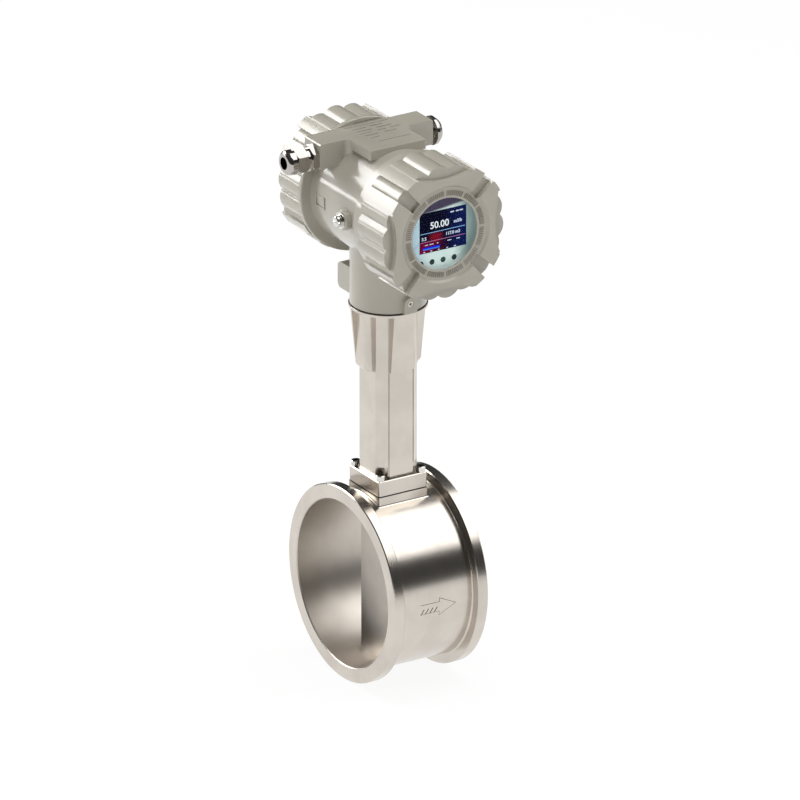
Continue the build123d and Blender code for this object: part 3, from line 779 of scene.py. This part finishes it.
@dataclass
class FlowTube:
    """The short steel tube with its two rims, the bluff bar and the probe."""

    nodes: dict[str, bpy.types.Object]
    tube_r: float = 79.25 * MM
    arrow_width: float = 0.75 * MM
    arrow_rise: float = 0.05 * MM
    shaft_from: float = -16.0 * MM
    shaft_to: float = 3.0 * MM
    shaft_top: float = 0.7 * MM
    shaft_foot: float = -8.2 * MM
    head_top: float = 4.2 * MM
    head_foot: float = -12.0 * MM
    tip: tuple[float, float] = (19.5 * MM, -3.6 * MM)
    hatch_start: float = 0.4 * MM
    hatch_lean: float = 3.2 * MM
    hatch_pitch: float = 4.45 * MM
    hatch_count: int = 4
    steel: Steel = Steel(
        "steel_turned", (0.67, 0.62, 0.56), 0.22, Lay.TURNED_ABOUT_BORE, line_depth=0.001 * MM,
        bore_r=75.0 * MM, bore_extra=0.18,
    )
    inner_steel: Steel = Steel("steel_milled", (0.54, 0.50, 0.45), 0.36, Lay.ALONG_COLUMN)
    etched: Steel = Steel("steel_etched", (0.10, 0.09, 0.08), 0.55, line_pitch=0.2 * MM)

    def arrow(self) -> None:
        """Etches the flow arrow: its outline, and slanted hatching in the tail."""
        middle = self.tip[1]
        corners = [
            (self.shaft_from, self.shaft_top),
            (self.shaft_to, self.shaft_top),
            (self.shaft_to, self.head_top),
            self.tip,
            (self.shaft_to, self.head_foot),
            (self.shaft_to, self.shaft_foot),
            (self.shaft_from, self.shaft_foot),
        ]
        starts = np.array(corners[:-1])
        ends = np.array(corners[1:])
        thin = np.full(len(starts), 0.5 * self.arrow_width)
        thin[3:] *= 0.6
        first = self.shaft_from + self.hatch_start
        foot = np.array([[first + k * self.hatch_pitch, self.shaft_foot] for k in range(self.hatch_count)])
        head = foot + np.array([self.hatch_lean, middle - self.shaft_foot])
        points, faces = strokes(
            np.concatenate([starts, foot]),
            np.concatenate([ends, head]),
            np.concatenate([thin, np.full(self.hatch_count, self.arrow_width)]),
            -self.arrow_rise,
            self.arrow_rise,
        )
        wrap = on_tube(self.tube_r, COLUMN_X)
        make_piece("flow_arrow", wrap(points), faces, self.etched.material(), Body.METER)

    def build(self) -> None:
        """Dresses the tube and marks it."""
        dress(self.nodes, self.steel.material(), "flow_tube")
        dress(self.nodes, self.inner_steel.material(), "shedder_bar", "sensor_probe")
        self.arrow()


@dataclass
class Column:
    """Gasket, base plate, screws, square tube and the finned adapter."""

    nodes: dict[str, bpy.types.Object]
    brushed: Steel = Steel("steel_brushed", (0.67, 0.62, 0.555), 0.25, Lay.ALONG_COLUMN, (COLUMN_X, 0.0, 0.0))
    plate_steel: Steel = Steel("steel_plate", (0.66, 0.61, 0.555), 0.25, Lay.ACROSS_PLATE, (COLUMN_X, 0.0, 0.0))
    cast_steel: Steel = Steel("steel_cast", (0.67, 0.62, 0.56), 0.25, Lay.ALONG_COLUMN, (COLUMN_X, 0.0, 0.0))
    screw_plating: Steel = Steel("screw_plating", (0.72, 0.70, 0.67), 0.08, line_pitch=0.3 * MM)
    column_half: float = 21.0 * MM
    column_cut: float = 7.0 * MM
    lip_r: float = 34.5 * MM
    lip_thickness: float = 1.6 * MM
    rim_rise: float = 0.9 * MM
    rim_inner_r: float = 32.3 * MM
    spigot_r: float = 25.0 * MM
    spigot_height: float = 31.0 * MM
    foot_edge: float = 3.2 * MM
    rib_foot_r: float = 28.7 * MM
    rib_top_r: float = 34.0 * MM
    rib_foot_y: float = 10.8 * MM
    rib_top_y: float = 9.4 * MM
    rib_thickness: float = 3.0 * MM
    channel_r: float = 28.2 * MM
    panel_foot: tuple[float, float] = (11.5 * MM, 23.6 * MM)
    panel_top: tuple[float, float] = (9.6 * MM, 26.2 * MM)
    edge_width: float = 0.35 * MM
    graphite: Moulded = Moulded("graphite_sheet_black", (0.03, 0.03, 0.03), 0.6)
    rubber: Moulded = Moulded("seal_rubber_dark", (0.07, 0.06, 0.05), 0.55)

    def adapter(self) -> None:
        """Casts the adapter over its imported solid.

        A straight core goes up from the column. In front and behind it a panel
        leans out as it narrows, and on each side two ribs with a channel
        between them widen up a cone to the round lip.
        """
        low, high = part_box("neck_adapter")
        lip_top = high.z - self.spigot_height
        lip_foot = lip_top - self.lip_thickness
        levels = np.array([low.z, low.z + self.foot_edge, lip_foot])
        share = (levels - levels[0]) / (levels[-1] - levels[0])
        cone = np.array([self.rib_foot_r - self.foot_edge, self.rib_foot_r, self.rib_top_r])
        outer = self.rib_foot_y + share * (self.rib_top_y - self.rib_foot_y)
        inner = outer - self.rib_thickness
        floor = np.minimum(cone, self.channel_r)
        panel_y = self.panel_foot[1] + share * (self.panel_top[1] - self.panel_foot[1])
        panel_x = self.panel_foot[0] + share * (self.panel_top[0] - self.panel_foot[0])
        half, short = self.column_half, self.column_half - self.column_cut
        octagon = (
            (half, -short), (half, short), (short, half), (-short, half),
            (-half, short), (-half, -short), (-short, -half), (short, -half),
        )
        shells = [upright(levels, octagon)]
        for side in (-1.0, 1.0):
            face_y = side * panel_y
            shells.append(upright(levels, ((panel_x, 0.0), (panel_x, face_y), (-panel_x, face_y), (-panel_x, 0.0))))
            shells.append(upright(levels, ((0.0, outer), (side * floor, inner), (side * floor, -inner), (0.0, -outer))))
            for edge in (-1.0, 1.0):
                deep, near = edge * inner, edge * outer
                tips = (side * np.sqrt(cone**2 - inner**2), side * np.sqrt(cone**2 - outer**2))
                shells.append(upright(levels, ((0.0, deep), (tips[0], deep), (tips[1], near), (0.0, near))))
        crest = lip_top + self.rim_rise
        heights = np.array([lip_foot, crest, crest, lip_top, lip_top, high.z])
        x, y = circle((self.lip_r, self.lip_r, self.rim_inner_r, self.rim_inner_r, self.spigot_r, self.spigot_r))
        shells.append(loft(np.stack([COLUMN_X + x, y, np.broadcast_to(heights[:, None], x.shape)], axis=2)))
        points, faces = join(shells)
        finish = self.cast_steel.material()
        casting = make_piece("adapter_casting", points, faces, finish, Body.METER)
        ease_edges(casting, self.edge_width)
        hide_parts("neck_adapter")

    def build(self) -> None:
        """Dresses the column's solids and casts the adapter."""
        dress(self.nodes, self.brushed.material(), "column_tube")
        dress(self.nodes, self.plate_steel.material(), "base_plate")
        dress(self.nodes, self.cast_steel.material(), "neck_adapter")
        dress(self.nodes, self.screw_plating.material(), "base_screws")
        dress(self.nodes, self.graphite.material(), "flange_gasket")
        dress(self.nodes, self.rubber.material(), "swivel_seal")
        self.adapter()


@dataclass
class Housing:
    """The painted casting, its lock and earth screws, and the nameplate's plain rules."""

    nodes: dict[str, bpy.types.Object]
    rule_width: float = 0.55 * MM
    rule_rise: float = 0.05 * MM
    rules: tuple[tuple[float, float, float, float], ...] = (
        (-12.4, 13.6, 35.5, 2.2),
        (-27.0, 17.0, 28.6, 1.0),
        (-23.0, -9.0, 22.0, 1.0),
        (-4.0, 8.0, 23.0, 1.0),
        (-22.0, -6.0, 16.5, 1.0),
        (-1.0, 14.0, 17.5, 1.0),
        (-21.0, -10.0, 11.0, 1.0),
        (-3.0, 5.0, 11.5, 1.0),
        (9.0, 19.0, 12.0, 1.0),
        (-20.0, -7.0, 5.0, 1.0),
        (0.0, 12.0, 5.5, 1.0),
        (-18.0, -9.0, -1.0, 1.0),
        (-15.7, 15.3, -11.2, 1.0),
    )
    ink: Moulded = Moulded("nameplate_ink", (0.07, 0.06, 0.055), 0.5)
    paint: Paint = Paint("warm_grey_paint", (0.40, 0.375, 0.315))
    plating: Steel = Steel("bright_plating", (0.72, 0.71, 0.68), 0.1, line_pitch=0.3 * MM)

    def ruling(self) -> None:
        """Lays plain level lines over the nameplate's pad, where such a plate has its rows.

        They lie at the top of the housing's box, which is its rear collar and
        stands 5.4 mm above the pad's own top: a known fault.
        """
        table = np.array(self.rules)
        level = table[:, 2]
        points, faces = strokes(
            np.stack([table[:, 0], level], axis=1) * MM,
            np.stack([table[:, 1], level], axis=1) * MM,
            self.rule_width * table[:, 3],
            -self.rule_rise,
            self.rule_rise,
            1,
        )
        lay = on_top(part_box("housing")[1].z, COLUMN_X, 0.0)
        make_piece("nameplate_rules", lay(points), faces, self.ink.material(), Body.HEAD)

    def build(self) -> None:
        """Dresses the casting and its screws, and rules the nameplate."""
        dress(self.nodes, self.paint.material(), "housing", "front_cover", "rear_cover")
        dress(self.nodes, self.plating.material(), "set_screw", "ground_screw", "ground_washers")
        self.ruling()


@dataclass
class Covers:
    """The two screw covers' seals, window and the ticks on the window's bezel."""

    nodes: dict[str, bpy.types.Object]
    ring_depth: float = 1.8 * MM
    tick_from: float = 34.6 * MM
    tick_to: float = 39.2 * MM
    tick_count: int = 120
    tick_width: float = 0.7 * MM
    tick_sink: float = 0.1 * MM
    tick_rise: float = 0.8 * MM
    gap_every: int = 10
    # Darker brown than the cover: painted shade round the raised lettering that the ticks stand for.
    tick_painted_shade: Paint = Paint("bezel_paint", (0.27, 0.25, 0.20))
    glass: WindowGlass = WindowGlass()
    rubber: Moulded = Moulded("cover_rubber_black", (0.02, 0.02, 0.02), 0.55)
    aluminium: Steel = Steel(
        "aluminium_turned", (0.62, 0.62, 0.62), 0.3, Lay.TURNED_ABOUT_BARREL, (COLUMN_X, 0.0, BARREL_Z)
    )

    def ticks(self) -> None:
        """Stands a ring of plain radial ticks in the bezel's recess, with a gap after each group; their dark brown is
        painted shade for the shadows round raised letters.
        """
        order = np.arange(self.tick_count)
        order = order[order % self.gap_every != 0]
        angle = 2.0 * math.pi * order / self.tick_count
        spoke = np.stack([np.sin(angle), np.cos(angle)], axis=1)
        points, faces = strokes(
            spoke * self.tick_from,
            spoke * self.tick_to,
            np.full(len(order), self.tick_width),
            -self.tick_sink,
            self.tick_rise,
            1,
        )
        face_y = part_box("front_cover")[0].y
        stand = on_front(face_y + self.ring_depth, COLUMN_X, BARREL_Z)
        make_piece("bezel_ticks", stand(points), faces, self.tick_painted_shade.material(), Body.FRONT_LID)

    def build(self) -> None:
        """Dresses the covers' parts and adds the ticks."""
        dress(self.nodes, self.rubber.material(), "front_cover_ring", "rear_cover_ring", "window_gasket")
        dress(self.nodes, self.aluminium.material(), "window_ring")
        dress(self.nodes, self.glass.material(), "window_glass")
        self.ticks()


@dataclass
class Display:
    """Foil, screen, keys and the figures that the screen shows."""

    nodes: dict[str, bpy.types.Object]
    mark_rise: float = 0.25 * MM
    mark_sink: float = 0.03 * MM
    sheet_rise: float = 0.13 * MM
    center: tuple[float, float] = (48.5 * MM, 348.5 * MM)
    foil: FoilPrint = FoilPrint()
    picture: ScreenPicture = ScreenPicture()
    black_plastic: Moulded = Moulded("display_body_black", (0.02, 0.02, 0.022), 0.45)
    key_plastic: Moulded = Moulded("key_dark_green", (0.03, 0.05, 0.045), 0.35)

    def front_y(self) -> float:
        """Where the marks' sheet lies, just inside the screen's front."""
        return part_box("display_screen")[0].y + self.mark_sink

    def figures(
        self,
        name: str,
        words: str,
        height: float,
        left: float,
        foot: float,
        finish: bpy.types.Material,
        weight: float = 0.0,
    ) -> None:
        """Sets figures on the screen.

        Args:
            name: The piece's name.
            words: What is set, generic figures and units only.
            height: Height of a capital.
            left: Where the figures start, from the screen's centre.
            foot: Where they stand, from the screen's centre.
            finish: Their material.
            weight: How far the strokes swell, of the font's own size.
        """
        curve = bpy.data.curves.new(name + "_text", "FONT")
        curve.body = words
        curve.size = 1.0
        curve.extrude = 0.5
        curve.offset = weight
        text = bpy.data.objects.new(name + "_text", curve)
        bpy.context.scene.collection.objects.link(text)
        bpy.context.view_layer.update()
        mesh = bpy.data.meshes.new_from_object(text.evaluated_get(bpy.context.evaluated_depsgraph_get()))
        bpy.data.objects.remove(text)
        flat = np.zeros(3 * len(mesh.vertices))
        mesh.vertices.foreach_get("co", flat)
        rows = flat.reshape(-1, 3)
        scale = height / 0.72
        sheet = np.stack(
            [left + scale * rows[:, 0], foot + scale * rows[:, 1], (rows[:, 2] + 0.5) * self.mark_rise], axis=1
        )
        placed = on_front(self.front_y(), *self.center)(sheet)
        mesh.vertices.foreach_set("co", placed.ravel())
        mesh.update()
        mesh.name = name
        finish_piece(bpy.data.objects.new(name, mesh), finish, Body.HEAD)

    def lines(
        self,
        name: str,
        rows: Sequence[tuple[float, float, float, float, float]],
        finish: bpy.types.Material,
        rise: float | None = None,
    ) -> None:
        """Draws rules, dots and bars on the screen.

        Args:
            name: The piece's name.
            rows: For each, from a, from b, to a, to b and the width, in millimetres from the screen's centre.
            finish: Their material.
            rise: How far they stand proud; the marks' own rise when None.
        """
        table = np.array(rows) * MM
        top = self.mark_rise if rise is None else rise
        points, faces = strokes(table[:, 0:2], table[:, 2:4], table[:, 4], 0.0, top, 1)
        stand = on_front(self.front_y(), *self.center)
        make_piece(name, stand(points), faces, finish, Body.HEAD)

    def build(self) -> None:
        """Dresses the display and draws its figures."""
        dress(self.nodes, self.foil.material(), "display_overlay")
        dress(self.nodes, self.black_plastic.material(), "display_housing", "display_screen")
        self.lines("screen_sheet", [(-23.2, 0.0, 23.2, 0.0, 36.4)], self.picture.material(), self.sheet_rise)
        dress(self.nodes, self.key_plastic.material(), "key_sensors")
        white = Lit("lit_white", (0.92, 0.95, 1.0)).material()
        faint = Lit("lit_pale", (0.72, 0.78, 0.92)).material()
        sky = Lit("lit_sky", (0.30, 0.56, 0.92)).material()
        pink = Lit("lit_pink", (0.55, 0.22, 0.42)).material()
        blue = Lit("lit_blue", (0.01, 0.02, 0.75)).material()
        azure = Lit("lit_azure", (0.05, 0.22, 0.95)).material()
        self.figures("screen_value", "50.00", 6.2 * MM, -13.0 * MM, 3.0 * MM, white, 0.012)
        self.figures("screen_unit", "m3/h", 2.9 * MM, 10.8 * MM, 4.2 * MM, faint, 0.03)
        self.figures("screen_second_value", "117.0 m3", 2.8 * MM, 2.6 * MM, -5.6 * MM, faint, 0.03)
        self.figures("screen_share", "3.5", 3.0 * MM, -21.5 * MM, -6.4 * MM, faint, 0.02)
        self.lines("screen_upper_rule", [(-22.5, -0.4, 22.0, -0.4, 0.5)], sky)
        self.lines("screen_lower_rule", [(-22.5, -8.2, 22.0, -8.2, 0.4)], pink)
        self.lines(
            "screen_status",
            [(7.5, 14.6, 11.0, 14.6, 1.1), (13.0, 14.6, 15.8, 14.6, 1.1), (16.6, 14.6, 20.0, 14.6, 1.1)],
            faint,
        )
        self.lines(
            "screen_small_row",
            [(-18.0, -11.0, -15.0, -11.0, 0.7), (-13.5, -11.0, -9.5, -11.0, 0.7), (-6.0, -11.0, -4.8, -11.0, 0.9),
             (4.5, -10.8, 8.5, -10.8, 0.7), (13.5, -10.8, 17.0, -10.8, 0.7)],
            faint,
        )
        self.lines("screen_bar", [(-20.0, -13.7, -3.0, -13.7, 1.3)], blue)
        self.lines("screen_bar_foot", [(-20.0, -14.9, -3.4, -14.9, 1.1)], azure)
        self.lines(
            "screen_dots",
            [(-19.5, -17.2, -18.0, -17.2, 0.8), (-12.5, -17.2, -11.0, -17.2, 0.8), (-5.0, -17.2, -3.5, -17.2, 0.8),
             (3.5, -17.2, 5.0, -17.2, 0.8), (11.0, -17.2, 13.0, -17.2, 0.8)],
            faint,
        )


@dataclass
class Electronics:
    """The board, its posts and the terminals inside the head."""

    nodes: dict[str, bpy.types.Object]
    board: Board = Board()
    brass: Steel = Steel("brass_turned", (0.65, 0.47, 0.20), 0.28, line_pitch=0.3 * MM)
    terminal_plastic: Moulded = Moulded("terminal_grey", (0.06, 0.065, 0.07), 0.45)

    def build(self) -> None:
        """Dresses the parts."""
        dress(self.nodes, self.board.material(), "main_board")
        dress(self.nodes, self.brass.material(), "board_posts", "terminal_screws")
        dress(self.nodes, self.terminal_plastic.material(), "terminal_block")


@dataclass
class CableEntries:
    """The cable gland on the left and the stopping plug on the right."""

    nodes: dict[str, bpy.types.Object]
    entry_reach: float = 10.0 * MM
    entry_r: float = 7.9 * MM
    plug_stations: tuple[tuple[float, float], ...] = (
        (0.0, 12.9), (2.9, 12.9), (3.5, 12.2), (3.5, 11.0), (4.5, 11.0),
        (5.6, 10.6), (6.6, 9.8), (7.2, 8.6), (7.5, 7.0),
    )
    edge_width: float = 0.2 * MM
    chrome: Steel = Steel("nickel_plating", (0.50, 0.475, 0.45), 0.08, line_pitch=0.3 * MM)
    rubber: Moulded = Moulded("gland_rubber_black", (0.02, 0.02, 0.02), 0.5)

    def plug(self) -> None:
        """Turns the low stopping plug: a thread in the entry, a flat collar and a domed cap."""
        low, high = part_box("blanking_plug")
        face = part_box("housing")[1].x
        table = np.array(self.plug_stations) * MM
        way = np.concatenate([[-self.entry_reach, 0.0], table[:, 0]])
        across, up = circle(np.concatenate([[self.entry_r, self.entry_r], table[:, 1]]))
        middle = 0.5 * (low + high)
        rings = np.stack([np.broadcast_to(face + way[:, None], across.shape), middle.y + across, middle.z + up], axis=2)
        points, faces = loft(rings)
        piece = make_piece("stopping_plug", points, faces, self.chrome.material(), Body.HEAD)
        ease_edges(piece, self.edge_width)
        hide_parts("blanking_plug")

    def build(self) -> None:
        """Dresses the gland and makes the plug."""
        dress(self.nodes, self.chrome.material(), "gland_body", "gland_nut")
        self.plug()
        dress(self.nodes, self.rubber.material(), "gland_seal", "gland_slip")


# Studio


@dataclass
class Studio:
    """Floor, soft lamps, world and camera."""

    floor_half: float = 3.2
    azimuth: float = -31.739
    elevation: float = 22.415
    distance: float = 13.5
    pixels_per_metre: float = 1160.7
    picture_width: float = 800.0
    sensor: float = 36.0
    target_right: float = 10.187 * MM
    target_up: float = 10.446 * MM
    world: Color = (1.0, 1.0, 1.0)
    target_z: float = 150.0 * MM
    room: tuple[tuple[float, float], ...] = (
        (0.0, 1.0), (0.458, 1.0), (0.470, 0.06), (0.54, 0.045), (0.75, 0.05), (1.0, 0.10),
    )
    paper: float = 0.9
    floor_glow: float = 1.03
    floor_glow_share: float = 0.88

    def center(self) -> Vector:
        """The point on the column's axis that the lamps and the camera look towards."""
        return Vector((COLUMN_X, 0.0, self.target_z))

    def camera(self) -> None:
        """Stands the camera at the photograph's viewing angle."""
        a, e = math.radians(self.azimuth), math.radians(self.elevation)
        back = Vector((math.sin(a) * math.cos(e), -math.cos(a) * math.cos(e), math.sin(e)))
        right = Vector((math.cos(a), math.sin(a), 0.0))
        up = back.cross(right)
        target = self.center() + self.target_right * right + self.target_up * up
        data = bpy.data.cameras.new("camera")
        data.sensor_width = self.sensor
        data.lens = self.sensor * self.pixels_per_metre * self.distance / self.picture_width
        data.clip_start, data.clip_end = 0.1, 200.0
        camera = bpy.data.objects.new("camera", data)
        camera.rotation_mode = "QUATERNION"
        camera.location = target + back * self.distance
        camera.rotation_quaternion = (-back).to_track_quat("-Z", "Y")
        bpy.context.scene.collection.objects.link(camera)
        bpy.context.scene.camera = camera

    def lamp(
        self,
        name: str,
        toward: Point,
        reach: float,
        size: tuple[float, float],
        radiance: float,
        mirrored: bool = True,
    ) -> None:
        """Hangs one soft rectangular lamp that looks at the meter, its height upright.

        Args:
            name: The lamp's name.
            toward: Direction from the meter to the lamp.
            reach: How far away it hangs.
            size: Width and height of the lamp.
            radiance: How bright the lamp looks, where 1 is white.
            mirrored: Whether metal and gloss show it.
        """
        data = bpy.data.lights.new(name, "AREA")
        data.shape = "RECTANGLE"
        data.size, data.size_y = size
        data.energy = radiance * math.pi * size[0] * size[1]
        lamp = bpy.data.objects.new(name, data)
        way = Vector(toward).normalized()
        lamp.location = self.center() + way * reach
        lamp.rotation_mode = "QUATERNION"
        lamp.rotation_quaternion = way.to_track_quat("Z", "Y")
        lamp.visible_camera = False
        lamp.visible_glossy = mirrored
        bpy.context.scene.collection.objects.link(lamp)

    def surround(self) -> None:
        """Lights the meter by height in the room: white below the horizon, dark walls and ceiling above.

        The camera sees plain white instead.
        """
        world = bpy.data.worlds.new("studio")
        bpy.context.scene.world = world
        tree = Tree(world)
        _, _, z = tree.axes(tree.add("TexCoord").outputs["Generated"])
        ramp = tree.add("ValToRGB")
        level = tree.add("MapRange", Value=z)
        level.inputs["From Min"].default_value = -1.0
        tree.feed(ramp.inputs[0], level.outputs[0])
        ramp.color_ramp.elements[0].position = self.room[0][0]
        ramp.color_ramp.elements[1].position = self.room[-1][0]
        for place, _ in self.room[1:-1]:
            ramp.color_ramp.elements.new(place)
        for element, (_, value) in zip(ramp.color_ramp.elements, self.room):
            element.color = (value, value, value, 1.0)
        path = tree.add("LightPath")
        seen = tree.blend(path.outputs["Is Camera Ray"], ramp.outputs[0], self.world)
        background = tree.add("Background", Color=seen, Strength=1.0)
        tree.links.new(background.outputs[0], tree.add("OutputWorld").inputs["Surface"])

    def floor(self) -> None:
        """Lays the white floor, which keeps a faint shadow of the meter."""
        half = self.floor_half
        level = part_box("flow_tube")[0].z
        mesh = bpy.data.meshes.new("floor")
        corners = [(-half, -half, level), (half, -half, level), (half, half, level), (-half, half, level)]
        mesh.from_pydata(corners, [], [(0, 1, 2, 3)])
        material = bpy.data.materials.new("floor_white")
        tree = Tree(material)
        path = tree.add("LightPath")
        seen = tree.math("MAXIMUM", path.outputs["Is Camera Ray"], path.outputs["Is Glossy Ray"])
        seen = tree.math("MAXIMUM", seen, path.outputs["Is Transmission Ray"])
        paper = tree.add("BsdfDiffuse", Color=(self.paper, self.paper, self.paper))
        glow = tree.add("Emission", Color=(1.0, 1.0, 1.0), Strength=self.floor_glow)
        mix = tree.add("MixShader")
        tree.feed(mix.inputs[0], tree.math("MULTIPLY", seen, self.floor_glow_share))
        tree.feed(mix.inputs[1], paper.outputs[0])
        tree.feed(mix.inputs[2], glow.outputs[0])
        tree.output(mix.outputs[0])
        mesh.materials.append(material)
        floor = bpy.data.objects.new("floor", mesh)
        bpy.context.scene.collection.objects.link(floor)

    def build(self) -> None:
        """Sets the studio up."""
        bpy.context.scene.view_settings.view_transform = "Standard"
        self.camera()
        self.surround()
        self.floor()
        self.lamp("key_box", (0.485, -0.27, 0.83), 2.5, (2.2, 2.5), 2.2)
        self.lamp("overhead_box", (0.0, 0.0, 1.0), 2.6, (1.2, 1.2), 5.5, mirrored=False)
        self.lamp("low_back_strip", (-0.597, 0.793, 0.125), 2.4, (1.0, 0.16), 9.0)
        self.lamp("high_back_box", (-0.35, 0.80, 0.47), 2.4, (1.5, 1.0), 7.0)
        self.lamp("left_fill", (-0.9, -0.5, 0.35), 2.5, (1.2, 1.6), 3.6, mirrored=False)
        self.lamp("right_fill", (0.7, -0.7, 0.15), 2.5, (1.0, 1.4), 2.0, mirrored=False)


def main() -> None:
    """Loads the frame, dresses and marks the meter, and sets up the studio."""
    logging.basicConfig(level=logging.INFO, format="%(name)s: %(message)s")
    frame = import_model()
    nodes = frame["nodes"]
    for part in (FlowTube, Column, Housing, Covers, Display, Electronics, CableEntries):
        part(nodes).build()
    Studio().build()


if __name__ == "__main__":
    main()
